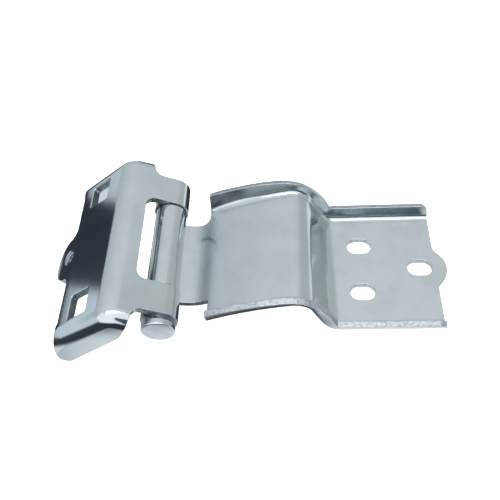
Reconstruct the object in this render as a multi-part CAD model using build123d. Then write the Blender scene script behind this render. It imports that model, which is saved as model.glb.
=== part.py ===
from build123d import *
import os
from math import cos, degrees, hypot, radians, sin, tan

# Sheet steel and pin
SHEET = 3.0
PILLAR_SHEET = 3.8
PIN_R = 4.5
PIN_RUNNING_GAP = 0.05
PIN_HEIGHT = 20.6
HEAD_R = 7.5
HEAD_THICK = 3.0
HEAD_ROUND = 0.8
HEAD_STAND_OFF = 2.1
PIN_STAND_OUT = 1.1
PIN_CHAMFER = 0.7

# Widths along the pin, from the knuckle outwards
NECK_HALF = 22.8
KNUCKLE_SIDE_GAP = 0.5
LUG_WIDTH = 15.5
END_REACH = 8.2
NECK_STEP = 8.2

# Door leaf, side view: top surface of the sheet, from the plate to the knuckle
FOOT_CORNER_X = 76.4
FOOT_R = 8.3
RISER_ANGLE = 65.0
HUMP_CORNER_Z = 26.0
HUMP_R = 10.5
CROWN_ANGLE = 9.6
FALL_ANGLE = 24.5
FALL_STRAIGHT = 2.59
VALLEY_R = 17.0
NECK_RISE = 26.0
KNUCKLE_WRAP = 288.0
CURL_OPENING = 1.2
CURL_OPENING_ANGLE = 70.0

# Door leaf, across: a channel with flared flanges, and a narrower neck
FLANGE_FLARE = 19.0
FLANGE_LENGTH = 8.3
FOLD_R = 3.0
CHANNEL_FAR_X = 18.4
CHANNEL_NEAR_X = 19.8
NECK_FAR_ROUND = 0.61 * NECK_STEP
NECK_NEAR_ROUND = 0.12 * NECK_STEP
FLANGE_TOP_PLATE = 9.4
FLANGE_END_ROUND = 4.0

# Free edge of the flanges: share of the way from the neck to the foot, and share of the hump's height
FLANGE_EDGE = [(-0.119, 0.700), (0.002, 0.808), (0.134, 0.919), (0.283, 1.015), (0.426, 1.092), (0.581, 1.138),
               (0.709, 1.135), (0.821, 1.046), (0.916, 0.858), (0.995, 0.608)]
FLANGE_EDGE_LAST = 1.047

# Door leaf holes
SLOT_LENGTH = 12.0
SLOT_WIDTH = 9.0
PAIR_FROM_FOOT = 16.3
PAIR_HALF = 13.5
SINGLE_FROM_PAIR = 28.4
END_FROM_SINGLE = 7.6
LOBE_R = 11.6
LOBE_BLEND = 6.0
PLATE_RUN_OUT = 12.0

# Pillar leaf, side view: a roof of two flats joined by a round ridge
MOUNT_ANGLE = 37.0
MOUNT_DISTANCE = 26.6
TOP_ANGLE = 25.0
RIDGE_TO_HOLES = 19.866
RIDGE_R = 10.5
LUG_WRAP = 288.0
TAB_BEND_START = 10.5
TAB_BEND_R = 65.0

# Pillar leaf, folded ends and window
END_FOLD_R = 7.2
WINDOW_EDGE = -14.35
WINDOW_ROUND = 4.5
NEAR_WALL_EDGE = -14.25
FAR_WALL_EDGE = -12.25
FAR_END_SLANT = 2.6
NOTCH_ROUND = 4.6
MOUNT_EDGE = 14.4
WALL_ARC_V = 20.2
WALL_ARC_DEPTH = 5.0
WALL_CORNER_V = 24.7
WALL_CORNER_DEPTH = 11.6
WALL_LEFT_V = 25.9
WALL_LEFT_DEPTH = 17.04
WALL_RIGHT_V = -11.5
WALL_RIGHT_DEPTH = 16.3
WALL_ROUND = 3.8

# Pillar leaf holes and tab
SQUARE = 12.6
SQUARE_CORNER = 1.2
SQUARE_V = 0.3
SQUARE_HALF_PITCH = 32.3
TAB_HOLE_V = 16.6
TAB_HOLE_R = 3.4
TAB_HOLE_CHAMFER = 0.9
TAB_R = 12.0
TAB_BLEND = 5.0
ROLLED_EDGE = 0.9
SQUARE_ROLLED_EDGE = 0.6

# Place of the pin's middle, with the origin under the middle of the whole hinge
PIN_X = -38.73
PIN_Y = -0.799

# Sizes that follow from the driving ones
BORE_R = PIN_R + PIN_RUNNING_GAP
KNUCKLE_R = BORE_R + SHEET
CURL_START_R = BORE_R + CURL_OPENING / (1 - cos(radians(CURL_OPENING_ANGLE)))
LUG_R = PIN_R + PILLAR_SHEET
CHANNEL_HALF = NECK_HALF + NECK_STEP
PAIR_X = FOOT_CORNER_X + PAIR_FROM_FOOT
SINGLE_X = PAIR_X + SINGLE_FROM_PAIR
PLATE_END = SINGLE_X + END_FROM_SINGLE
LUG_INNER = NECK_HALF + KNUCKLE_SIDE_GAP
LUG_OUTER = LUG_INNER + LUG_WIDTH
END_OUTER = LUG_OUTER + END_REACH
PIN_FAR_END = LUG_OUTER + PIN_STAND_OUT
TAB_STRIP = TAB_HOLE_V + TAB_R - TAB_BEND_START + PILLAR_SHEET

# Working lengths: lap of pieces that become one, tools well clear of the sheet, and closeness of two readings
LAP = SHEET / 3
LIFT = 2 * PILLAR_SHEET
CLEAR = 4 * END_OUTER
NEAR = 1e-3
SHORT_EDGE = SHEET / 15


class Trace:
    """Follow a sheet in side view, keeping one surface a given way to the left of the drawn one."""

    def __init__(self, x, z, heading, left):
        self.x = x
        self.z = z
        self.heading = heading
        self.left = left
        self.edges = []

    def point(self):
        a = radians(self.heading)
        return (self.x - sin(a) * self.left, self.z + cos(a) * self.left)

    def line(self, length):
        first = self.point()
        self.x += length * cos(radians(self.heading))
        self.z += length * sin(radians(self.heading))
        self.edges.append(Line(at_xz(*first), at_xz(*self.point())))

    def arc(self, radius, turn):
        side = 1.0 if turn > 0 else -1.0
        a = radians(self.heading)
        centre_x = self.x - side * radius * sin(a)
        centre_z = self.z + side * radius * cos(a)
        steps = 2 if abs(turn) > 120 else 1
        for step in range(steps):
            start = self.point()
            points = []
            for part in (0.5, 1.0):
                angle = a + radians(turn) / steps * (step + part)
                x = centre_x + side * radius * sin(angle)
                z = centre_z - side * radius * cos(angle)
                points.append((x - sin(angle) * self.left, z + cos(angle) * self.left))
            self.edges.append(ThreePointArc(at_xz(*start), at_xz(*points[0]), at_xz(*points[1])))
            end = a + radians(turn) / steps * (step + 1)
            self.x = centre_x + side * radius * sin(end)
            self.z = centre_z - side * radius * cos(end)
            self.heading = degrees(end)


def at_xz(x, z, y=0.0):
    return Vector(x, y, z)


def side_prism(edges, y_first, y_last):
    """Solid between two planes across the pin axis from closed edges of the side view."""
    face = Face(Wire(edges))
    placed = face.moved(Location((0, y_first, 0)))
    return extrude(placed, y_last - y_first, dir=(0, 1, 0))


def sheet_prism(first, second, y_first, y_last):
    """Sheet between two traces of the same strip."""
    close_start = Line(first.edges[0] @ 0, second.edges[0] @ 0)
    close_end = Line(first.edges[-1] @ 1, second.edges[-1] @ 1)
    return side_prism(first.edges + second.edges + [close_start, close_end], y_first, y_last)


def meet(first_point, first_angle, second_point, second_angle):
    """Crossing of two lines given by a point and a heading each."""
    ax, az = cos(radians(first_angle)), sin(radians(first_angle))
    bx, bz = cos(radians(second_angle)), sin(radians(second_angle))
    dx, dz = second_point[0] - first_point[0], second_point[1] - first_point[1]
    k = (dx * bz - dz * bx) / (ax * bz - az * bx)
    return first_point[0] + k * ax, first_point[1] + k * az


def distance(first, second):
    return hypot(second[0] - first[0], second[1] - first[1])


def door_trace(left, with_neck=True, only_neck=False):
    """The door leaf's strip from right to left; the drawn line is the top surface."""
    riser = 180.0 - RISER_ANGLE
    crown = 180.0 + CROWN_ANGLE
    fall = 180.0 + FALL_ANGLE
    rise = 180.0 - NECK_RISE
    foot_corner = (FOOT_CORNER_X, SHEET)
    hump_corner = (FOOT_CORNER_X - (HUMP_CORNER_Z - SHEET) / tan(radians(RISER_ANGLE)), HUMP_CORNER_Z)
    foot_tangent = FOOT_R * tan(radians(RISER_ANGLE / 2))
    hump_turn = crown - riser
    hump_tangent = HUMP_R * tan(radians(hump_turn / 2))
    trace = Trace(PLATE_END + PLATE_RUN_OUT, SHEET, 180.0, left)
    trace.line(PLATE_END + PLATE_RUN_OUT - foot_corner[0] - foot_tangent)
    trace.arc(FOOT_R, riser - 180.0)
    trace.line(distance(foot_corner, hump_corner) - foot_tangent - hump_tangent)
    trace.arc(HUMP_R, hump_turn)
    touch = curl_start()
    valley_tangent = VALLEY_R * tan(radians((fall - rise) / 2))
    trace.arc(crown_radius((trace.x, trace.z), touch, valley_tangent), fall - crown)
    corner = meet((trace.x, trace.z), fall, touch, rise)
    if only_neck:
        trace.edges = []
    trace.line(FALL_STRAIGHT)
    if with_neck:
        trace.arc(VALLEY_R, rise - fall)
        trace.line(distance(corner, touch) - valley_tangent)
        trace.arc(CURL_START_R, -CURL_OPENING_ANGLE)
        trace.arc(BORE_R, CURL_OPENING_ANGLE - KNUCKLE_WRAP)
    return trace


def curl_start():
    """Where the neck's top surface runs into the knuckle's curl, which starts wider than the bore."""
    across = radians(270.0 - NECK_RISE)
    joined = across - radians(CURL_OPENING_ANGLE)
    offset = CURL_START_R - BORE_R
    x = CURL_START_R * cos(across) - offset * cos(joined)
    z = CURL_START_R * sin(across) - offset * sin(joined)
    return x, PIN_HEIGHT + z


def crown_radius(start, touch, valley_tangent):
    """Radius of the crown that leaves the straight fall its length before the valley."""
    crown = radians(180.0 + CROWN_ANGLE)
    fall = radians(180.0 + FALL_ANGLE)
    rise = radians(180.0 - NECK_RISE)
    across = (-sin(rise), cos(rise))
    straight = FALL_STRAIGHT + valley_tangent
    missing = (touch[0] - start[0] - straight * cos(fall), touch[1] - start[1] - straight * sin(fall))
    swing = (sin(fall) - sin(crown), cos(crown) - cos(fall))
    return (missing[0] * across[0] + missing[1] * across[1]) / (swing[0] * across[0] + swing[1] * across[1])


def channel_section():
    """Half channel across the strip at the plate's end: web, fold and flared flange."""
    lean = radians(FLANGE_FLARE)
    outward = (sin(lean), cos(lean))
    across = (cos(lean), -sin(lean))
    turn = radians(90.0 - FLANGE_FLARE)
    tangent = FOLD_R * tan(turn / 2)
    inner_start = (CHANNEL_HALF - tangent, SHEET)
    inner_end = (CHANNEL_HALF + tangent * outward[0], SHEET + tangent * outward[1])
    centre = (inner_start[0], SHEET + FOLD_R)
    mid = -radians(90.0) + turn / 2
    inner_mid = (centre[0] + FOLD_R * cos(mid), centre[1] + FOLD_R * sin(mid))
    outer_r = FOLD_R + SHEET
    outer_mid = (centre[0] + outer_r * cos(mid), centre[1] + outer_r * sin(mid))
    outer_start = (inner_start[0], 0.0)
    outer_end = (inner_end[0] + SHEET * across[0], inner_end[1] + SHEET * across[1])
    inner_top = (CHANNEL_HALF + FLANGE_LENGTH * outward[0], SHEET + FLANGE_LENGTH * outward[1])
    outer_top = (inner_top[0] + SHEET * across[0], inner_top[1] + SHEET * across[1])
    x = PLATE_END + PLATE_RUN_OUT

    def spot(pair):
        return Vector(x, pair[0], pair[1])

    edges = [Line(spot((-LAP, SHEET)), spot(inner_start)),
             ThreePointArc(spot(inner_start), spot(inner_mid), spot(inner_end)),
             Line(spot(inner_end), spot(inner_top)),
             Line(spot(inner_top), spot(outer_top)),
             Line(spot(outer_top), spot(outer_end)),
             ThreePointArc(spot(outer_end), spot(outer_mid), spot(outer_start)),
             Line(spot(outer_start), spot((-LAP, 0.0))),
             Line(spot((-LAP, 0.0)), spot((-LAP, SHEET)))]
    return Face(Wire(edges))


def flange_trim():
    """What lies above the free edge of the far flange, sheared square to the flange."""
    lean = radians(FLANGE_FLARE)
    start_y = CHANNEL_HALF - LAP
    inner_y = CHANNEL_HALF + (FLANGE_TOP_PLATE - SHEET) * tan(lean)
    lift = (inner_y - start_y) * tan(lean)
    run = FOOT_CORNER_X - CHANNEL_FAR_X
    plate_top = FLANGE_TOP_PLATE + lift
    points = [at_xz(CHANNEL_FAR_X + along * run, height * HUMP_CORNER_Z + lift) for along, height in FLANGE_EDGE]
    points.append(at_xz(CHANNEL_FAR_X + FLANGE_EDGE_LAST * run, plate_top))
    curve = Spline(points)
    last = curve @ 1
    end_x = PLATE_END
    bend = FLANGE_END_ROUND
    corner_mid = (end_x - bend + bend * sin(radians(45)), plate_top - bend + bend * cos(radians(45)))
    first_x = points[0].X
    past_x = end_x + 2 * PLATE_RUN_OUT
    edges = [curve,
             Line(last, at_xz(end_x - bend, plate_top)),
             ThreePointArc(at_xz(end_x - bend, plate_top), at_xz(*corner_mid), at_xz(end_x, plate_top - bend)),
             Line(at_xz(end_x, plate_top - bend), at_xz(past_x, plate_top - bend)),
             Line(at_xz(past_x, plate_top - bend), at_xz(past_x, CLEAR)),
             Line(at_xz(past_x, CLEAR), at_xz(first_x, CLEAR)),
             Line(at_xz(first_x, CLEAR), curve @ 0)]
    face = Face(Wire(edges)).moved(Location((0, start_y, 0)))
    return extrude(face, 2 * (SHEET + FLANGE_LENGTH), dir=(0, cos(lean), -sin(lean)))


def plan_prism(sketch):
    """Prism straight up from a shape drawn in plan."""
    return extrude(sketch.moved(Location((0, 0, -CLEAR / 2))), CLEAR, dir=(0, 0, 1))


def make_door_leaf():
    top = door_trace(0.0, with_neck=False)
    path = Wire(top.edges)
    half = sweep(channel_section(), path=path)
    half = half - flange_trim()
    channel = half + half.mirror(Plane.XZ)
    side = CHANNEL_HALF + FLANGE_LENGTH + SHEET
    plate_box = make_face(Polyline((CHANNEL_FAR_X, side), (CHANNEL_FAR_X, 0), (CHANNEL_NEAR_X, 0),
                                   (CHANNEL_NEAR_X, -side), (PLATE_END, -side), (PLATE_END, side), close=True))
    lobe_x = SINGLE_X + SLOT_LENGTH / 2 - SLOT_WIDTH / 2
    outline = plate_box + Pos(lobe_x, 0) * Circle(LOBE_R)
    blends = [v for v in outline.vertices()
              if abs(v.X - PLATE_END) < NEAR and abs(v.Y) < CHANNEL_HALF]
    outline = fillet(blends, LOBE_BLEND)
    for x, y in ((PAIR_X, PAIR_HALF), (PAIR_X, -PAIR_HALF), (SINGLE_X, 0.0)):
        outline = outline - Pos(x, y) * SlotOverall(SLOT_LENGTH, SLOT_WIDTH)
    channel = channel & plan_prism(outline)
    strip = sheet_prism(door_trace(0.0, only_neck=True), door_trace(SHEET, only_neck=True),
                        -CHANNEL_HALF, CHANNEL_HALF)
    return channel + (strip & plan_prism(neck_plan()))


def neck_plan():
    """Plan of the neck, with its round corner at the far flange and its sharp one at the near flange."""
    left = -2 * KNUCKLE_R
    right = CHANNEL_NEAR_X + 2 * SHEET
    wide = CHANNEL_HALF - LAP
    shape = make_face(Polyline((left, -NECK_HALF), (CHANNEL_NEAR_X, -NECK_HALF), (CHANNEL_NEAR_X, -wide),
                               (right, -wide), (right, wide), (CHANNEL_FAR_X, wide), (CHANNEL_FAR_X, NECK_HALF),
                               (left, NECK_HALF), close=True))
    far = [v for v in shape.vertices() if abs(v.X - CHANNEL_FAR_X) < NEAR and abs(v.Y - NECK_HALF) < NEAR]
    shape = fillet(far, NECK_FAR_ROUND)
    near = [v for v in shape.vertices() if abs(v.X - CHANNEL_NEAR_X) < NEAR and abs(v.Y + NECK_HALF) < NEAR]
    return fillet(near, NECK_NEAR_ROUND)


MOUNT_N = (-sin(radians(MOUNT_ANGLE)), cos(radians(MOUNT_ANGLE)))
MOUNT_V = (-cos(radians(MOUNT_ANGLE)), -sin(radians(MOUNT_ANGLE)))
TOP_N = (sin(radians(TOP_ANGLE)), cos(radians(TOP_ANGLE)))
TOP_U = (cos(radians(TOP_ANGLE)), -sin(radians(TOP_ANGLE)))
TOP_TOUCH = (LUG_R * TOP_N[0], PIN_HEIGHT + LUG_R * TOP_N[1])
RIDGE = meet((MOUNT_DISTANCE * MOUNT_N[0], PIN_HEIGHT + MOUNT_DISTANCE * MOUNT_N[1]), MOUNT_ANGLE,
             TOP_TOUCH, -TOP_ANGLE)
MOUNT_O = (RIDGE[0] + RIDGE_TO_HOLES * MOUNT_V[0], RIDGE[1] + RIDGE_TO_HOLES * MOUNT_V[1])


def on_mount(v, depth):
    """Side-view point of the mounting flat: v down the flat from the square holes, depth below it."""
    return (MOUNT_O[0] + v * MOUNT_V[0] - depth * MOUNT_N[0], MOUNT_O[1] + v * MOUNT_V[1] - depth * MOUNT_N[1])


def on_top(u, depth):
    """Side-view point of the top flat: u towards the pin from the knuckle's tangent line."""
    return (TOP_TOUCH[0] + u * TOP_U[0] - depth * TOP_N[0], TOP_TOUCH[1] + u * TOP_U[1] - depth * TOP_N[1])


def pillar_trace(right, curl=True, top_until=0.0):
    """The pillar leaf's strip from the tab over the ridge; the drawn line is the outer surface."""
    bend = degrees(TAB_STRIP / TAB_BEND_R)
    start = on_mount(TAB_BEND_START, 0.0)
    back = radians(MOUNT_ANGLE)
    centre = (start[0] + TAB_BEND_R * sin(back), start[1] - TAB_BEND_R * cos(back))
    tip = radians(MOUNT_ANGLE + bend)
    tip_x = centre[0] - TAB_BEND_R * sin(tip)
    tip_z = centre[1] + TAB_BEND_R * cos(tip)
    trace = Trace(tip_x, tip_z, MOUNT_ANGLE + bend, -right)
    turn = MOUNT_ANGLE + TOP_ANGLE
    tangent = RIDGE_R * tan(radians(turn / 2))
    trace.arc(TAB_BEND_R, -bend)
    trace.line(TAB_BEND_START + RIDGE_TO_HOLES - tangent)
    trace.arc(RIDGE_R, -turn)
    trace.line(distance(RIDGE, TOP_TOUCH) - tangent + top_until)
    if curl:
        trace.arc(LUG_R, -LUG_WRAP)
    return trace


def end_planes(inset):
    """Faces of the two folded ends, drawn in by a sheet thickness or not; the far one is at a slant."""
    slant = radians(FAR_END_SLANT)
    pivot = on_mount(MOUNT_EDGE, 0.0)
    far_normal = Vector(-sin(slant), cos(slant), 0)
    far_point = Vector(pivot[0], END_OUTER, 0) - far_normal * inset
    near_normal = Vector(0, -1, 0)
    near_point = Vector(0, inset - END_OUTER, 0)
    return Plane(origin=near_point, z_dir=near_normal), Plane(origin=far_point, z_dir=far_normal)


def roof_solid(inset):
    """Block under the roof, drawn in by a sheet thickness or not, with round end folds."""
    trace = pillar_trace(inset, curl=False, top_until=3 * PIN_R + 2 * LUG_R)
    first = trace.edges[0] @ 0
    last = trace.edges[-1] @ 1
    low = -CLEAR / 3
    edges = trace.edges + [Line(last, at_xz(last.X, low)), Line(at_xz(last.X, low), at_xz(first.X, low)),
                           Line(at_xz(first.X, low), first)]
    solid = side_prism(edges, -CLEAR / 2, CLEAR / 2)
    planes = end_planes(inset)
    for plane in planes:
        solid = split(solid, bisect_by=plane, keep=Keep.BOTTOM)
    rims = []
    for edge in solid.edges():
        mid = edge @ 0.5
        on_end = min(abs(plane.to_local_coords(mid).Z) for plane in planes) < NEAR
        upright = abs((edge @ 0).X - (edge @ 1).X) < NEAR
        floor = abs(mid.Z - low) < NEAR
        if on_end and not upright and not floor:
            rims.append(edge)
    return fillet(rims, END_FOLD_R - inset)


def wall_outline(wall_edge):
    """Side-view outline kept of a folded end."""
    arc = [on_mount(MOUNT_EDGE, 0.0), on_mount(WALL_ARC_V, WALL_ARC_DEPTH),
           on_mount(WALL_CORNER_V, WALL_CORNER_DEPTH)]
    low_left = on_mount(WALL_LEFT_V, WALL_LEFT_DEPTH)
    low_right = on_mount(WALL_RIGHT_V, WALL_RIGHT_DEPTH)
    edge_top = on_top(wall_edge, 0.0)
    right_top = (3 * edge_top[0] - 2 * low_right[0], 3 * edge_top[1] - 2 * low_right[1])
    over = on_mount(MOUNT_EDGE, -CLEAR / 3)
    shape_points = [at_xz(*p) for p in (arc[2], low_left, low_right, right_top, over, arc[0])]
    edges = [ThreePointArc(at_xz(*arc[0]), at_xz(*arc[1]), at_xz(*arc[2]))]
    edges += [Line(a, b) for a, b in zip(shape_points, shape_points[1:])]
    solid = side_prism(edges, -CLEAR / 2, CLEAR / 2)
    rounds = []
    for edge in solid.edges():
        mid = edge @ 0.5
        for corner in (low_left, low_right):
            if distance((mid.X, mid.Z), corner) < NEAR:
                rounds.append(edge)
    return fillet(rounds, WALL_ROUND)


def mount_plane(v, y, lift=0.0):
    """Work plane on the mounting flat: local x runs along the pin, local y down the flat."""
    x, z = on_mount(v, -lift)
    return Plane(origin=(x, y, z), x_dir=(0, -1, 0), z_dir=(MOUNT_N[0], 0, MOUNT_N[1]))


def top_plane(lift):
    """Work plane over the top flat: local x towards the pin, local y along it."""
    x, z = on_top(0.0, -lift)
    return Plane(origin=(x, 0, z), x_dir=(TOP_U[0], 0, TOP_U[1]), z_dir=(TOP_N[0], 0, TOP_N[1]))


def outside_mount_outline():
    """What is sheared away beyond the straight lower edge and the round tab."""
    flat = Pos(0, CLEAR / 2 - MOUNT_EDGE) * Rectangle(2 * CLEAR, CLEAR)
    shape = flat + Pos(0, -TAB_HOLE_V) * Circle(TAB_R)
    corners = [v for v in shape.vertices() if abs(v.Y + MOUNT_EDGE) < NEAR and abs(v.X) < 2 * TAB_R]
    shape = fillet(corners, TAB_BLEND)
    waste = Pos(0, -MOUNT_EDGE - TAB_STRIP) * Rectangle(2 * LUG_OUTER, 3 * TAB_STRIP) - shape
    return extrude(mount_plane(0.0, 0.0, LIFT) * waste, -3 * LIFT)


def window():
    """Opening between the lugs."""
    length = 2 * LUG_OUTER
    shape = Pos(WINDOW_EDGE + length / 2, 0) * RectangleRounded(length, 2 * LUG_INNER, WINDOW_ROUND)
    return extrude(top_plane(LIFT) * shape, -LIFT - 4 * LUG_R)


def notch_fill(side, wall_edge):
    """Round inside corner between a folded end and its lug."""
    length = NOTCH_ROUND + PILLAR_SHEET
    middle = Pos(wall_edge + NOTCH_ROUND - length / 2, LUG_OUTER + NOTCH_ROUND / 2)
    round_centre = Pos(wall_edge + NOTCH_ROUND, LUG_OUTER + NOTCH_ROUND)
    shape = middle * Rectangle(length, NOTCH_ROUND) - round_centre * Circle(NOTCH_ROUND)
    if side < 0:
        shape = shape.mirror(Plane.XZ)
    return extrude(top_plane(PILLAR_SHEET) * shape, -3 * PILLAR_SHEET)


def tab_hole():
    """Round hole square to the bent tab, with a countersunk mouth."""
    bend = (TAB_HOLE_V - TAB_BEND_START) / TAB_BEND_R
    angle = radians(MOUNT_ANGLE) + bend
    start = on_mount(TAB_BEND_START, TAB_BEND_R)
    normal = (-sin(angle), cos(angle))
    x = start[0] + TAB_BEND_R * normal[0]
    z = start[1] + TAB_BEND_R * normal[1]
    plane = Plane(origin=(x, 0, z), x_dir=(0, -1, 0), z_dir=(normal[0], 0, normal[1]))
    tool = Pos(0, 0, -PILLAR_SHEET / 2) * Cylinder(TAB_HOLE_R, 4 * PILLAR_SHEET)
    mouth = 2 * TAB_HOLE_CHAMFER
    wide = TAB_HOLE_R + TAB_HOLE_CHAMFER + mouth
    cone = Pos(0, 0, mouth / 2 - TAB_HOLE_CHAMFER / 2)
    tall = mouth + TAB_HOLE_CHAMFER
    tool = tool + cone * Cone(TAB_HOLE_R, wide, tall)
    return plane * tool


def make_pillar_leaf():
    shell = roof_solid(0.0) - roof_solid(PILLAR_SHEET)
    strip = sheet_prism(pillar_trace(0.0), pillar_trace(PILLAR_SHEET), -LUG_OUTER, LUG_OUTER)
    leaf = strip - outside_mount_outline() - window()
    for side, wall_edge in ((1, FAR_WALL_EDGE), (-1, NEAR_WALL_EDGE)):
        beyond = Pos(0, side * (LUG_OUTER - LAP / 2 + CLEAR / 2), 0) * Box(CLEAR, CLEAR, CLEAR)
        leaf = leaf + (shell & wall_outline(wall_edge) & beyond)
        leaf = leaf + (shell & notch_fill(side, wall_edge))
        place = mount_plane(SQUARE_V, side * SQUARE_HALF_PITCH, LIFT)
        square = place * RectangleRounded(SQUARE, SQUARE, SQUARE_CORNER)
        leaf = leaf - extrude(square, -2 * LIFT)
    leaf = leaf - tab_hole()
    leaf = fillet(lower_edges(leaf), ROLLED_EDGE)
    return fillet(square_edges(leaf), SQUARE_ROLLED_EDGE)


def outer_depth(point):
    """How far a point lies below the outer surface of the mounting flat and its bent tab."""
    rel = (point.X - MOUNT_O[0], point.Z - MOUNT_O[1])
    v = rel[0] * MOUNT_V[0] + rel[1] * MOUNT_V[1]
    depth = -(rel[0] * MOUNT_N[0] + rel[1] * MOUNT_N[1])
    if v > TAB_BEND_START:
        centre = on_mount(TAB_BEND_START, TAB_BEND_R)
        depth = TAB_BEND_R - distance(centre, (point.X, point.Z))
    return v, depth


def outside_edges(leaf):
    """Edges that lie wholly on the outer side of the mounting flat, each with its middle's place."""
    for edge in leaf.edges():
        readings = [outer_depth(edge @ k) for k in (0.0, 0.5, 1.0)]
        outside = all(abs(depth) < 2 * NEAR for v, depth in readings)
        if outside and edge.length > SHORT_EDGE:
            yield edge, readings[1][0], (edge @ 0.5).Y


def square_edges(leaf):
    """Edges of the square holes, rounded by the punch."""
    reach = SQUARE / 2 + LAP
    return [edge for edge, v, y in outside_edges(leaf)
            if abs(v - SQUARE_V) < reach and abs(abs(y) - SQUARE_HALF_PITCH) < reach]


def lower_edges(leaf):
    """Lower edge of the mounting flat and its tab, rounded by the punch."""
    mouth_r = TAB_HOLE_R + TAB_HOLE_CHAMFER + LAP
    return [edge for edge, v, y in outside_edges(leaf)
            if v > MOUNT_EDGE - LAP and abs(y) < LUG_OUTER and distance((v, y), (TAB_HOLE_V, 0)) > mouth_r]


def make_pin():
    head_front = -(LUG_OUTER + HEAD_STAND_OFF + HEAD_THICK)
    head_back = head_front + HEAD_THICK
    outline = Polyline((0, head_front), (HEAD_R, head_front), (HEAD_R, head_back), (PIN_R, head_back),
                       (PIN_R, PIN_FAR_END - PIN_CHAMFER), (PIN_R - PIN_CHAMFER, PIN_FAR_END), (0, PIN_FAR_END),
                       close=True)
    face = make_face(outline)
    rim = [v for v in face.vertices() if abs(v.X - HEAD_R) < NEAR and abs(v.Y - head_front) < NEAR]
    face = fillet(rim, HEAD_ROUND)
    return revolve(face, axis=Axis.Y).moved(Location((0, 0, PIN_HEIGHT)))


def export(part, name):
    solid = part.solids()[0].moved(Location((PIN_X, PIN_Y, 0)))
    solid.label = name
    print(name, round(solid.volume, 1), solid.bounding_box())
    export_step(solid, os.path.join("parts", name + ".step"))


if __name__ == "__main__":
    os.makedirs("parts", exist_ok=True)
    export(make_door_leaf(), "door_leaf")
    export(make_pillar_leaf(), "pillar_leaf")
    export(make_pin(), "hinge_pin")
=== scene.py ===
import math

import bmesh
import bpy
from mathutils import Matrix, Vector
from mathutils.bvhtree import BVHTree


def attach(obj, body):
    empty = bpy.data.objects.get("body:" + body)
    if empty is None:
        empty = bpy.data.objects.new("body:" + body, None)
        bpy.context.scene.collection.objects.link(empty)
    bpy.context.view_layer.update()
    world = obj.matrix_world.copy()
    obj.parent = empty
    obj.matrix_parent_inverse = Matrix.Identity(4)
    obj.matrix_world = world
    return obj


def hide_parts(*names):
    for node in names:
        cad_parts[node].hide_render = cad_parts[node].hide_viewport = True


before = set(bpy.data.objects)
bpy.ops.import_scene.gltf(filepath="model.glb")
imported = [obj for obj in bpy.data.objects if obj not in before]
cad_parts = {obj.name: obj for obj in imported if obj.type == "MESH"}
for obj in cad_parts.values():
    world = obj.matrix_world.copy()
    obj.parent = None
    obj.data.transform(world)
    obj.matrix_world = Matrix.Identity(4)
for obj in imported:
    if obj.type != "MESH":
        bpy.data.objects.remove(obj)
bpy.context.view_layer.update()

MM = 0.001
ORIGIN = (0.0, 0.0, 0.0)

# The hinge's own places, in millimetres in the shared frame
TAB_HOLE_MIDDLE = Vector((-86.1672, -0.799, 15.3724))
TAB_HOLE_AXIS = Vector((-0.674006, 0.0, 0.738726))
TAB_HOLE_REACH = 4.4
MIDDLE_Y = -0.799
FLANGE_FLARE = math.radians(19.0)
FLANGE_START_Y = 32.0
PIN_X = -38.73
PIN_Z = 20.6
LUG_OUTSIDE_R = 8.7
FOLD_START_Y = 39.5
FOOT_TOP_Z = 9.0
RIDGE_X = -60.0
MOUNT_DOWN = Vector((-0.798636, 0.0, -0.601815))
TOP_DOWN = Vector((0.906308, 0.0, -0.422618))

# How far a face may lean and still count as a sheared edge
FLANGE_EDGE_LEAN = 0.12
UPRIGHT_LEAN = 0.05
SIDEWAYS_LEAST = 0.9
SIDEWAYS_MOST = 0.3
DOWNHILL_LEAST = 0.85

# Skin of the pressed sheet
WELD = 0.002
FLAT_ANGLE = math.radians(0.25)
EDGE_ANGLE = math.radians(38.0)
EDGE_EASE = 0.28
EASE_SEGMENTS = 2
STRAY = 0.30
CREASE_ANGLE = math.radians(50.0)
SHADING_WEIGHT = 100

# Thread in the tab hole, in millimetres
THREAD_PITCH = 1.25
THREAD_TOP_R = 3.30
THREAD_ROOT_R = 4.0
THREAD_FLANK = 0.5
THREAD_ROOT_FLAT = 0.15
THREAD_STEPS_PER_TURN = 36
THREAD_TURNS = 6
THREAD_START = -4.55
TAP_HALF_LENGTH = 2.6

# Finish of the plated sheet: cells to the metre, tints from dark to light, relief and its height in metres
SHEET_CLOUD_CELLS = 55.0
SHEET_TINTS = [(0.30, (0.61, 0.66, 0.68)), (0.52, (0.66, 0.71, 0.73)), (0.74, (0.70, 0.745, 0.755))]
SHEET_FINE_CELLS = 900.0
SHEET_FINE_RELIEF = 0.015
SHEET_FINE_HEIGHT = 0.0003
SHEET_ROLLED_CELLS = 90.0
SHEET_ROLLED_RELIEF = 0.03
SHEET_ROLLED_HEIGHT = 0.0005
ALONG_DOOR = (0.25, 3.0, 3.0)
ACROSS_BRACKET = (3.0, 0.25, 3.0)
DOOR_ROUGHNESS = (0.14, 0.21)
PILLAR_ROUGHNESS = (0.11, 0.17)

# Finish of the sheared edges; the bracket's darker edge tints are also painted shade on the lug ends and
# window walls
TORN_CELLS = 700.0
TORN_RELIEF = 0.45
TORN_HEIGHT = 0.0006
TORN_ROUGHNESS = (0.30, 0.52)
DOOR_EDGE_TINTS = [(0.32, (0.24, 0.28, 0.31)), (0.50, (0.50, 0.54, 0.57)), (0.70, (0.66, 0.69, 0.70))]
PILLAR_EDGE_AND_GAP_SHADE_TINTS = [(0.32, (0.22, 0.26, 0.28)), (0.50, (0.36, 0.42, 0.45)), (0.70, (0.50, 0.55, 0.57))]

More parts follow.
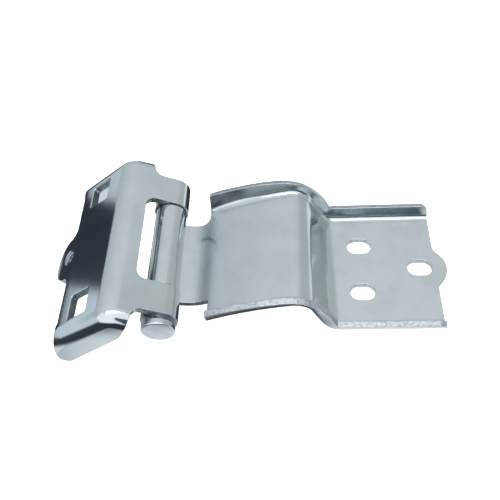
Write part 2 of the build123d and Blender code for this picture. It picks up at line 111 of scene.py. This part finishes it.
# Finish of the turned pin
PIN_CLOUD_CELLS = 140.0
PIN_TINTS = [(0.32, (0.58, 0.63, 0.66)), (0.68, (0.76, 0.79, 0.80))]
RING_CELLS = 260.0
RING_STRETCH = (0.15, 9.0, 0.15)
RING_RELIEF = 0.10
RING_HEIGHT = 0.0003
RING_ROUGHNESS = (0.20, 0.38)

# White paper under the hinge, in metres, low enough for the folded arm
FLOOR_Z = -0.03
FLOOR_SIZE = (6.0, 6.0)
PAPER_CELLS = 30.0
PAPER_TINTS = [(0.3, (0.90, 0.90, 0.90)), (0.7, (0.92, 0.92, 0.92))]
PAPER_ROUGHNESS = 0.9
PAPER_SHINE = 0.1
PAPER_GLOW = 0.78

# Where the mirrored table goes from dark to light, in metres along x or y
TABLE_Z = -0.0004
DARK_AND_PAINTED_SHADE_TABLE = (0.035, 0.042, 0.055)
LIT_TABLE = (0.86, 0.91, 0.95)
BESIDE_TAB_X = (-0.114, -0.104)
UNDER_PLATE_X = (0.025, 0.045)
UNDER_TAB_X = (-0.086, -0.092)
UNDER_FAR_END_Y = (0.016, 0.026)
LEFT_OF_WINDOW_X = (-0.068, -0.075)
IN_FRONT_Y = (-0.034, -0.044)
FADING_LEFT_X = (-0.128, -0.066)
BEFORE_BRACKET_END_Y = (-0.069, -0.058)
BEFORE_ARM_X = (-0.030, -0.010)

# Standing strips round the table: radius and heights in metres, compass angles in degrees
STRIP_STEPS = 24
FRONT_R = 0.35
FRONT_CORNER = 238.0
LEFT_SKIRT_START = 228.0
LEFT_SKIRT_Z = (0.0, 0.016)
LEFT_LIGHT_START = 205.0
LEFT_LIGHT_Z = (0.022, 0.34)
RIGHT_DARK_END = 330.0
RIGHT_DARK_Z = (0.0, 0.20)
RIGHT_LIGHT_END = 325.0
RIGHT_LIGHT_Z = (0.22, 0.70)
BACK_R = 0.28
BACK_LIGHT_Z = (0.0, 0.05)
BACK_LEFT_END = 225.0
BACK_RIGHT_START = 100.0
GAP_R = 0.285
GAP_Z = (0.0, 0.08)
GAP_START = 146.0
GAP_END = 161.0
DIM_R = 1.2
DIM_Z = (0.0, 2.4)
DIM_ANGLES = (-40.0, 48.0)
DIM_FADE = 10.0
DIM_SOLID_SHARE = 0.4
DARK_WALL = (0.03, 0.038, 0.05)
TEAL_WALL = (0.04, 0.08, 0.10)
DIM_WALL = (0.52, 0.56, 0.555)
PALE_WALL = (1.1, 1.13, 1.16)
BACK_LIGHT = (0.70, 0.78, 0.86)
BACK_DIM_LIGHT = (0.62, 0.68, 0.74)

# Card beside the near end of the bracket, in metres
NEAR_CARD_MIDDLE = (-0.077, -0.085, 0.054)
NEAR_CARD_SIZE = (0.064, 0.052)
UPRIGHT = math.radians(90.0)

# Lamps, in metres and watts, and the air round them
TOP_BOX_PLACE = (0.05, -0.42, 0.85)
TOP_BOX_SIZE = (0.9, 0.4)
TOP_BOX_POWER = 5.0
TABLE_LAMP_PLACE = (0.0, 0.0, 1.6)
TABLE_LAMP_SIZE = (2.4, 2.4)
TABLE_LAMP_POWER = 22.0
AIR_TINTS = [(0.0, (0.50, 0.53, 0.55)), (0.5, (0.62, 0.66, 0.69)), (1.0, (0.80, 0.83, 0.85))]

# Camera of the photograph, in millimetres, with its near clip in metres
EYE = Vector((19.87, -182.719, 267.05))
HEADING = math.radians(-6.0)
PITCH = math.radians(53.47)
ROLL = math.radians(-6.03)
LENS = 46.8
SENSOR = 36.0
NEAR_CLIP = 0.01


def new_material(name):
    """A fresh node material with its shader."""
    material = bpy.data.materials.new(name)
    material.use_nodes = True
    shader = material.node_tree.nodes["Principled BSDF"]
    return material, material.node_tree, shader


def place_node(material):
    """The piece's own coordinates, which every pattern on the hinge follows."""
    tree = material.node_tree
    return tree.nodes.new("ShaderNodeTexCoord").outputs["Object"]


def stretched(material, place, scale):
    """Coordinates drawn out along one way, for rolling and turning marks."""
    tree = material.node_tree
    mapping = tree.nodes.new("ShaderNodeMapping")
    mapping.inputs["Scale"].default_value = scale
    tree.links.new(place, mapping.inputs["Vector"])
    return mapping.outputs["Vector"]


def noise(material, place, cells, detail, rough):
    """A cloudy pattern with so many cells to the metre."""
    tree = material.node_tree
    cloud = tree.nodes.new("ShaderNodeTexNoise")
    cloud.inputs["Scale"].default_value = cells
    cloud.inputs["Detail"].default_value = detail
    cloud.inputs["Roughness"].default_value = rough
    tree.links.new(place, cloud.inputs["Vector"])
    return cloud.outputs["Fac"]


def ramp(owner, value, stops):
    """Colours laid along a value, in a material or the world."""
    tree = owner.node_tree
    band = tree.nodes.new("ShaderNodeValToRGB")
    elements = band.color_ramp.elements
    while len(elements) < len(stops):
        elements.new(0.5)
    for element, (position, colour) in zip(elements, stops):
        element.position = position
        element.color = (*colour, 1.0)
    tree.links.new(value, band.inputs["Fac"])
    return band.outputs["Color"]


def span(material, value, ends):
    """A value from 0 to 1 carried onto a range."""
    tree = material.node_tree
    reach = tree.nodes.new("ShaderNodeMapRange")
    reach.inputs["To Min"].default_value = ends[0]
    reach.inputs["To Max"].default_value = ends[1]
    tree.links.new(value, reach.inputs["Value"])
    return reach.outputs["Result"]


def bump(material, pattern, relief, height, under=None):
    """Relief from a pattern, over another relief where one is given."""
    tree = material.node_tree
    raised = tree.nodes.new("ShaderNodeBump")
    raised.inputs["Strength"].default_value = relief
    raised.inputs["Distance"].default_value = height
    tree.links.new(pattern, raised.inputs["Height"])
    if under is not None:
        tree.links.new(under, raised.inputs["Normal"])
    return raised.outputs["Normal"]


def zinc_sheet(name, grain, roughness):
    """Bright zinc plate on rolled sheet: blue silver, cloudy, with faint rolling marks."""
    material, tree, shader = new_material(name)
    place = place_node(material)
    shader.inputs["Metallic"].default_value = 1.0
    cloud = noise(material, place, SHEET_CLOUD_CELLS, detail=4.0, rough=0.6)
    tree.links.new(ramp(material, cloud, SHEET_TINTS), shader.inputs["Base Color"])
    fine = noise(material, place, SHEET_FINE_CELLS, detail=2.0, rough=0.6)
    tree.links.new(span(material, fine, roughness), shader.inputs["Roughness"])
    rolled = noise(material, stretched(material, place, grain), SHEET_ROLLED_CELLS, detail=3.0, rough=0.6)
    rolled_relief = bump(material, rolled, SHEET_ROLLED_RELIEF, SHEET_ROLLED_HEIGHT)
    relief = bump(material, fine, SHEET_FINE_RELIEF, SHEET_FINE_HEIGHT, rolled_relief)
    tree.links.new(relief, shader.inputs["Normal"])
    return material


def sheared_edge(name, tints):
    """The cut edge of the sheet: torn steel under a thin plate."""
    material, tree, shader = new_material(name)
    shader.inputs["Metallic"].default_value = 1.0
    torn = noise(material, place_node(material), TORN_CELLS, detail=5.0, rough=0.7)
    tree.links.new(ramp(material, torn, tints), shader.inputs["Base Color"])
    tree.links.new(span(material, torn, TORN_ROUGHNESS), shader.inputs["Roughness"])
    tree.links.new(bump(material, torn, TORN_RELIEF, TORN_HEIGHT), shader.inputs["Normal"])
    return material


def turned_zinc(name):
    """Zinc on turned bar: even, a little brighter, with fine rings of the tool."""
    material, tree, shader = new_material(name)
    place = place_node(material)
    shader.inputs["Metallic"].default_value = 1.0
    cloud = noise(material, place, PIN_CLOUD_CELLS, detail=3.0, rough=0.55)
    tree.links.new(ramp(material, cloud, PIN_TINTS), shader.inputs["Base Color"])
    rings = noise(material, stretched(material, place, RING_STRETCH), RING_CELLS, detail=2.0, rough=0.5)
    tree.links.new(span(material, rings, RING_ROUGHNESS), shader.inputs["Roughness"])
    tree.links.new(bump(material, rings, RING_RELIEF, RING_HEIGHT), shader.inputs["Normal"])
    return material


door_zinc = zinc_sheet("door_zinc_plate", ALONG_DOOR, DOOR_ROUGHNESS)
pillar_zinc = zinc_sheet("pillar_zinc_plate", ACROSS_BRACKET, PILLAR_ROUGHNESS)
cut_zinc = sheared_edge("cut_edge_zinc", DOOR_EDGE_TINTS)
# The bracket's darker edge finish: sheared steel, and painted shade on the lug ends and window walls
bracket_edge_zinc_and_gap_shade = sheared_edge("bracket_cut_edge_zinc_and_painted_gap_shade", PILLAR_EDGE_AND_GAP_SHADE_TINTS)
pin_zinc = turned_zinc("pin_zinc_plate")


def scene_object(name, shape):
    """A bmesh as an object of the scene."""
    mesh = bpy.data.meshes.new(name)
    shape.to_mesh(mesh)
    shape.free()
    thing = bpy.data.objects.new(name, mesh)
    bpy.context.scene.collection.objects.link(thing)
    return thing


def in_tab_hole(place):
    """Whether a point, in millimetres, is in or at the tab hole."""
    offset = place - TAB_HOLE_MIDDLE
    along = offset.dot(TAB_HOLE_AXIS)
    out = (offset - TAB_HOLE_AXIS * along).length
    return out < TAB_HOLE_REACH and abs(along) < TAP_HALF_LENGTH


def thread_tap():
    """The tap of the tab hole: a closed bar with the thread's grooves as ridges."""
    ridge = [
        (THREAD_TOP_R, 0.0),
        (THREAD_ROOT_R, THREAD_FLANK),
        (THREAD_ROOT_R, THREAD_FLANK + THREAD_ROOT_FLAT),
        (THREAD_TOP_R, 2.0 * THREAD_FLANK + THREAD_ROOT_FLAT),
        (THREAD_TOP_R, THREAD_PITCH),
    ]
    shape = bmesh.new()
    across = Vector((0.0, 1.0, 0.0))
    corners = []
    for radius, along in ridge:
        place = TAB_HOLE_MIDDLE + TAB_HOLE_AXIS * (THREAD_START + along) + across * radius
        corners.append(shape.verts.new(place * MM))
    for first, second in zip(corners, corners[1:]):
        shape.edges.new((first, second))
    bmesh.ops.spin(
        shape,
        geom=shape.verts[:] + shape.edges[:],
        cent=TAB_HOLE_MIDDLE * MM,
        axis=TAB_HOLE_AXIS,
        dvec=TAB_HOLE_AXIS * (THREAD_PITCH * MM / THREAD_STEPS_PER_TURN),
        angle=2.0 * math.pi * THREAD_TURNS,
        steps=THREAD_STEPS_PER_TURN * THREAD_TURNS,
        use_duplicate=False,
    )
    bmesh.ops.remove_doubles(shape, verts=shape.verts, dist=WELD * MM)
    for side in (-1.0, 1.0):
        bmesh.ops.bisect_plane(
            shape,
            geom=shape.verts[:] + shape.edges[:] + shape.faces[:],
            plane_co=(TAB_HOLE_MIDDLE + TAB_HOLE_AXIS * (side * TAP_HALF_LENGTH)) * MM,
            plane_no=TAB_HOLE_AXIS * side,
            clear_outer=True,
        )
    rims = [edge for edge in shape.edges if edge.is_boundary]
    bmesh.ops.holes_fill(shape, edges=rims, sides=0)
    bmesh.ops.recalc_face_normals(shape, faces=shape.faces)
    return shape


def in_fixed_order(mesh):
    """A mesh's points and faces in an order that is the same each run, which a cut's own order isn't."""
    corners = sorted({tuple(vertex.co) for vertex in mesh.vertices})
    number = {corner: index for index, corner in enumerate(corners)}
    outlines = []
    for face in mesh.polygons:
        outline = [number[tuple(mesh.vertices[index].co)] for index in face.vertices]
        start = outline.index(min(outline))
        outlines.append(outline[start:] + outline[:start])
    ordered = bpy.data.meshes.new(mesh.name + "_ordered")
    ordered.from_pydata(corners, [], sorted(outlines))
    shape = bmesh.new()
    shape.from_mesh(ordered)
    bpy.data.meshes.remove(ordered)
    return shape


def tapped(shape):
    """The bracket's shape with the thread cut into its tab hole."""
    blank = scene_object("bracket_blank", shape)
    tap = scene_object("thread_tap", thread_tap())
    cut = blank.modifiers.new("thread_cut", "BOOLEAN")
    cut.operation = "DIFFERENCE"
    cut.solver = "EXACT"
    cut.object = tap
    depsgraph = bpy.context.evaluated_depsgraph_get()
    result = bpy.data.meshes.new_from_object(blank.evaluated_get(depsgraph))
    threaded = in_fixed_order(result)
    for used in (blank, tap):
        mesh = used.data
        bpy.data.objects.remove(used)
        bpy.data.meshes.remove(mesh)
    bpy.data.meshes.remove(result)
    bmesh.ops.remove_doubles(threaded, verts=threaded.verts, dist=WELD * MM)
    bmesh.ops.dissolve_degenerate(threaded, dist=WELD * MM, edges=threaded.edges)
    return threaded


def plated_skin(node, is_cut_edge, materials, body):
    """A node's shape as one welded skin, its sharp edges eased and its cut edges in their own finish."""
    shape = bmesh.new()
    shape.from_mesh(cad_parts[node].data)
    bmesh.ops.remove_doubles(shape, verts=shape.verts, dist=WELD * MM)
    if node == "pillar_leaf":
        shape = tapped(shape)
    bmesh.ops.dissolve_limit(
        shape,
        angle_limit=FLAT_ANGLE,
        verts=shape.verts,
        edges=shape.edges,
        delimit=set(),
    )
    for face in shape.faces:
        face.material_index = 1 if is_cut_edge(face) else 0
    sharp = [
        edge
        for edge in shape.edges
        if len(edge.link_faces) == 2
        and edge.calc_face_angle() > EDGE_ANGLE
        and not in_tab_hole(edge.verts[0].co / MM)
    ]
    before_easing = BVHTree.FromBMesh(shape)
    bmesh.ops.bevel(
        shape,
        geom=sharp,
        offset=EDGE_EASE * MM,
        offset_type="OFFSET",
        segments=EASE_SEGMENTS,
        profile=0.5,
        affect="EDGES",
        material=-1,
        clamp_overlap=False,
    )
    for corner in shape.verts:
        on_sheet, _, _, distance = before_easing.find_nearest(corner.co)
        if distance > STRAY * MM:
            corner.co = on_sheet
    bmesh.ops.remove_doubles(shape, verts=shape.verts, dist=WELD * MM)
    for face in shape.faces:
        face.smooth = True
    for edge in shape.edges:
        folded = len(edge.link_faces) == 2 and edge.calc_face_angle() > CREASE_ANGLE
        edge.smooth = not folded
    piece = scene_object(node + "_plated", shape)
    for material in materials:
        piece.data.materials.append(material)
    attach(piece, body)
    even = piece.modifiers.new("even_shading", "WEIGHTED_NORMAL")
    even.keep_sharp = True
    even.weight = SHADING_WEIGHT
    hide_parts(node)


def door_cut_edge(face):
    """The sheared rim of the door leaf: plan edges, slots and the free edges of the flanges."""
    normal = face.normal
    place = face.calc_center_median() / MM
    if abs(place.y - MIDDLE_Y) <= FLANGE_START_Y:
        return abs(normal.z) < UPRIGHT_LEAN
    side = 1.0 if place.y > MIDDLE_Y else -1.0
    leans = side * normal.y * math.cos(FLANGE_FLARE) - normal.z * math.sin(FLANGE_FLARE)
    return abs(leans) < FLANGE_EDGE_LEAN


def bracket_rim_and_gap_shade_faces(face):
    """The sheared rim of the bracket: lug ends, window, notches, square holes, tab and feet; on the lug
    ends and window walls its darker finish is also painted shade of the gaps.
    """
    normal = face.normal
    place = face.calc_center_median() / MM
    out = abs(place.y - MIDDLE_Y)
    if in_tab_hole(place):
        return False
    # Lug ends and window walls: sheared edges whose darker finish is also painted shade in the gaps beside
    # the knuckle
    if out < FOLD_START_Y and abs(normal.y) > SIDEWAYS_LEAST:
        return True
    radial = Vector((place.x - PIN_X, 0.0, place.z - PIN_Z))
    if radial.length < LUG_OUTSIDE_R:
        return abs(normal.y) < SIDEWAYS_MOST and abs(normal.dot(radial.normalized())) < SIDEWAYS_MOST
    if abs(normal.y) > SIDEWAYS_MOST:
        return False
    if place.z < FOOT_TOP_Z and out > FOLD_START_Y:
        return True
    downhill = MOUNT_DOWN if place.x < RIDGE_X else TOP_DOWN
    return abs(normal.dot(downhill)) > DOWNHILL_LEAST


def no_cut_edge(face):
    """The pin has no sheared rim."""
    return False


plated_skin("door_leaf", door_cut_edge, [door_zinc, cut_zinc], "arm")
plated_skin("pillar_leaf", bracket_rim_and_gap_shade_faces, [pillar_zinc, bracket_edge_zinc_and_gap_shade], "bracket")
plated_skin("hinge_pin", no_cut_edge, [pin_zinc], "bracket")


def stage_object(name, shape, material):
    """A bmesh as a part of the studio."""
    card = scene_object(name, shape)
    card.data.materials.append(material)
    return card


def stage_card(name, centre, size, tilt, material):
    """A flat card of the studio."""
    shape = bmesh.new()
    bmesh.ops.create_grid(shape, x_segments=1, y_segments=1, size=0.5)
    bmesh.ops.scale(shape, vec=Vector((size[0], size[1], 1.0)), verts=shape.verts)
    bmesh.ops.rotate(shape, cent=Vector(), matrix=Matrix.Rotation(tilt, 3, "X"), verts=shape.verts)
    bmesh.ops.translate(shape, vec=Vector(centre), verts=shape.verts)
    return stage_object(name, shape, material)


def mirrored_only(card):
    """Keeps a card out of the picture and out of the light on the floor; the metal still mirrors it."""
    card.visible_camera = False
    card.visible_diffuse = False
    card.visible_shadow = False


def shining(name):
    """A material that shines by itself."""
    material = bpy.data.materials.new(name)
    material.use_nodes = True
    tree = material.node_tree
    tree.nodes.remove(tree.nodes["Principled BSDF"])
    shine = tree.nodes.new("ShaderNodeEmission")
    tree.links.new(shine.outputs["Emission"], tree.nodes["Material Output"].inputs["Surface"])
    return material, tree, shine


def glow(name, colour):
    """A card of one even light."""
    material, _, shine = shining(name)
    shine.inputs["Color"].default_value = (*colour, 1.0)
    return material


def floor_paper():
    """White paper that shines a little by itself, with a faint tooth."""
    material, tree, shader = new_material("floor_paper")
    tooth = noise(material, place_node(material), PAPER_CELLS, detail=3.0, rough=0.5)
    tree.links.new(ramp(material, tooth, PAPER_TINTS), shader.inputs["Base Color"])
    shader.inputs["Roughness"].default_value = PAPER_ROUGHNESS
    shader.inputs["Specular IOR Level"].default_value = PAPER_SHINE
    shader.inputs["Emission Color"].default_value = (1.0, 1.0, 1.0, 1.0)
    shader.inputs["Emission Strength"].default_value = PAPER_GLOW
    return material


def step(material, value, places):
    """A value that climbs from 0 at the first place to 1 at the second."""
    tree = material.node_tree
    climb = tree.nodes.new("ShaderNodeMapRange")
    climb.interpolation_type = "SMOOTHSTEP"
    climb.inputs["From Min"].default_value = places[0]
    climb.inputs["From Max"].default_value = places[1]
    tree.links.new(value, climb.inputs["Value"])
    return climb.outputs["Result"]


def together(material, operation, first, second):
    """Two values joined by one sum."""
    tree = material.node_tree
    sum_node = tree.nodes.new("ShaderNodeMath")
    sum_node.operation = operation
    tree.links.new(first, sum_node.inputs[0])
    tree.links.new(second, sum_node.inputs[1])
    return sum_node.outputs["Value"]


def split_place(material):
    """The x, y and z of a card's own coordinates."""
    tree = material.node_tree
    split = tree.nodes.new("ShaderNodeSeparateXYZ")
    tree.links.new(place_node(material), split.inputs["Vector"])
    return split.outputs["X"], split.outputs["Y"], split.outputs["Z"]


def let_air_through(material, hidden):
    """Takes a shining card away where a value is 1, so that the air shows there."""
    tree = material.node_tree
    clear = tree.nodes.new("ShaderNodeBsdfTransparent")
    blend = tree.nodes.new("ShaderNodeMixShader")
    tree.links.new(hidden, blend.inputs["Fac"])
    tree.links.new(tree.nodes["Emission"].outputs["Emission"], blend.inputs[1])
    tree.links.new(clear.outputs["BSDF"], blend.inputs[2])
    tree.links.new(blend.outputs["Shader"], tree.nodes["Material Output"].inputs["Surface"])


def table_sheen():
    """What the zinc mirrors below it, a glowing card in place of the floor: a painted reflection of a lit
    table, with painted shade under the bracket and the arm's neck, dark to the left and away in front.
    """
    material, tree, shine = shining("table_sheen")
    along, across, _ = split_place(material)
    beside_tab = step(material, along, BESIDE_TAB_X)
    under_plate = step(material, along, UNDER_PLATE_X)
    under_tab = step(material, along, UNDER_TAB_X)
    under_far_end = step(material, across, UNDER_FAR_END_Y)
    left_of_window = step(material, along, LEFT_OF_WINDOW_X)
    in_front = step(material, across, IN_FRONT_Y)
    fading_left = step(material, along, FADING_LEFT_X)
    before_bracket_end = step(material, across, BEFORE_BRACKET_END_Y)
    before_arm = step(material, along, BEFORE_ARM_X)
    # Left unlit between these zones: painted shade under the bracket and the arm's neck
    under_far_hole = together(material, "MULTIPLY", under_far_end, left_of_window)
    lit = together(material, "MAXIMUM", under_plate, under_tab)
    lit = together(material, "MAXIMUM", lit, under_far_hole)
    lit = together(material, "MULTIPLY", lit, beside_tab)
    lit = together(material, "MAXIMUM", lit, together(material, "MULTIPLY", in_front, fading_left))
    near_front = together(material, "MAXIMUM", before_bracket_end, before_arm)
    lit = together(material, "MULTIPLY", lit, near_front)
    tree.links.new(ramp(material, lit, [(0.0, DARK_AND_PAINTED_SHADE_TABLE), (1.0, LIT_TABLE)]), shine.inputs["Color"])
    let_air_through(material, tree.nodes.new("ShaderNodeNewGeometry").outputs["Backfacing"])
    mirrored_only(stage_card("table_sheen", (0.0, 0.0, TABLE_Z), FLOOR_SIZE, 0.0, material))


def wall_strip(name, radius, heights, angles, colour):
    """A standing strip round the table, between two compass angles."""
    first = math.radians(angles[0])
    last = math.radians(angles[1])
    shape = bmesh.new()
    foot, head = (
        shape.verts.new((radius * math.cos(first), radius * math.sin(first), height))
        for height in heights
    )
    shape.edges.new((foot, head))
    bmesh.ops.spin(
        shape,
        geom=shape.verts[:] + shape.edges[:],
        cent=Vector(),
        axis=Vector((0.0, 0.0, 1.0)),
        angle=last - first,
        steps=STRIP_STEPS,
        use_duplicate=False,
    )
    material = glow(name, colour)
    mirrored_only(stage_object(name, shape, material))
    return material


def fading_strip(name, radius, heights, angles, fade, colour):
    """A standing strip that fades into the air at both ends and towards its top."""
    first, last = angles
    material = wall_strip(name, radius, heights, (first - fade, last + fade), colour)
    along, across, up = split_place(material)
    compass = together(material, "ARCTAN2", across, along)
    before_first = step(material, compass, (math.radians(first + fade), math.radians(first - fade)))
    after_last = step(material, compass, (math.radians(last - fade), math.radians(last + fade)))
    past_ends = together(material, "MAXIMUM", before_first, after_last)
    above = step(material, up, (DIM_SOLID_SHARE * heights[1], heights[1]))
    let_air_through(material, together(material, "MAXIMUM", past_ends, above))


floor = stage_card("floor", (0.0, 0.0, FLOOR_Z), FLOOR_SIZE, 0.0, floor_paper())
floor.visible_glossy = False
table_sheen()
wall_strip("dark_front_left", FRONT_R, LEFT_SKIRT_Z, (LEFT_SKIRT_START, FRONT_CORNER), DARK_WALL)
wall_strip("light_front_left", FRONT_R, LEFT_LIGHT_Z, (LEFT_LIGHT_START, FRONT_CORNER), PALE_WALL)
wall_strip("dark_front_right", FRONT_R, RIGHT_DARK_Z, (FRONT_CORNER, RIGHT_DARK_END), TEAL_WALL)
wall_strip("light_front_right", FRONT_R, RIGHT_LIGHT_Z, (FRONT_CORNER, RIGHT_LIGHT_END), PALE_WALL)
near_light = glow("light_by_near_end", PALE_WALL)
mirrored_only(stage_card("light_by_near_end", NEAR_CARD_MIDDLE, NEAR_CARD_SIZE, UPRIGHT, near_light))
fading_strip("dim_right", DIM_R, DIM_Z, DIM_ANGLES, DIM_FADE, DIM_WALL)
wall_strip("dark_gap", GAP_R, GAP_Z, (GAP_START, GAP_END), DARK_WALL)
wall_strip("light_left", BACK_R, BACK_LIGHT_Z, (GAP_END, BACK_LEFT_END), BACK_LIGHT)
wall_strip("light_right", BACK_R, BACK_LIGHT_Z, (BACK_RIGHT_START, GAP_START), BACK_DIM_LIGHT)


def soft_box(name, place, size, power):
    """A soft white studio lamp pointed at the hinge."""
    lamp = bpy.data.lights.new(name, "AREA")
    lamp.shape = "RECTANGLE"
    lamp.size = size[0]
    lamp.size_y = size[1]
    lamp.energy = power
    holder = bpy.data.objects.new(name, lamp)
    holder.location = place
    direction = Vector(ORIGIN) - Vector(place)
    holder.rotation_euler = direction.to_track_quat("-Z", "Y").to_euler()
    bpy.context.scene.collection.objects.link(holder)
    return holder


soft_box("front_top_box", TOP_BOX_PLACE, TOP_BOX_SIZE, TOP_BOX_POWER)
table_lamp = soft_box("table_lamp", TABLE_LAMP_PLACE, TABLE_LAMP_SIZE, TABLE_LAMP_POWER)
table_lamp.visible_glossy = False


def studio_air():
    """Pale walls all round, a little brighter overhead."""
    world = bpy.data.worlds.new("studio_air")
    world.use_nodes = True
    tree = world.node_tree
    place = tree.nodes.new("ShaderNodeTexCoord")
    split = tree.nodes.new("ShaderNodeSeparateXYZ")
    tree.links.new(place.outputs["Generated"], split.inputs["Vector"])
    tint = ramp(world, split.outputs["Z"], AIR_TINTS)
    tree.links.new(tint, tree.nodes["Background"].inputs["Color"])
    bpy.context.scene.world = world


studio_air()


def photograph_camera():
    """The camera where the photograph was taken from."""
    level_forward = Vector((math.sin(HEADING), math.cos(HEADING), 0.0))
    forward = level_forward * math.cos(PITCH) - Vector((0.0, 0.0, math.sin(PITCH)))
    level_right = Vector((math.cos(HEADING), -math.sin(HEADING), 0.0))
    level_up = level_right.cross(forward)
    right = level_right * math.cos(ROLL) + level_up * math.sin(ROLL)
    up = level_up * math.cos(ROLL) - level_right * math.sin(ROLL)
    lens = bpy.data.cameras.new("photograph_camera")
    lens.sensor_width = SENSOR
    lens.lens = LENS
    lens.clip_start = NEAR_CLIP
    holder = bpy.data.objects.new("photograph_camera", lens)
    turn = Matrix((right, up, -forward)).transposed()
    holder.matrix_world = Matrix.Translation(EYE * MM) @ turn.to_4x4()
    bpy.context.scene.collection.objects.link(holder)
    bpy.context.scene.camera = holder


photograph_camera()
bpy.context.scene.view_settings.view_transform = "Standard"
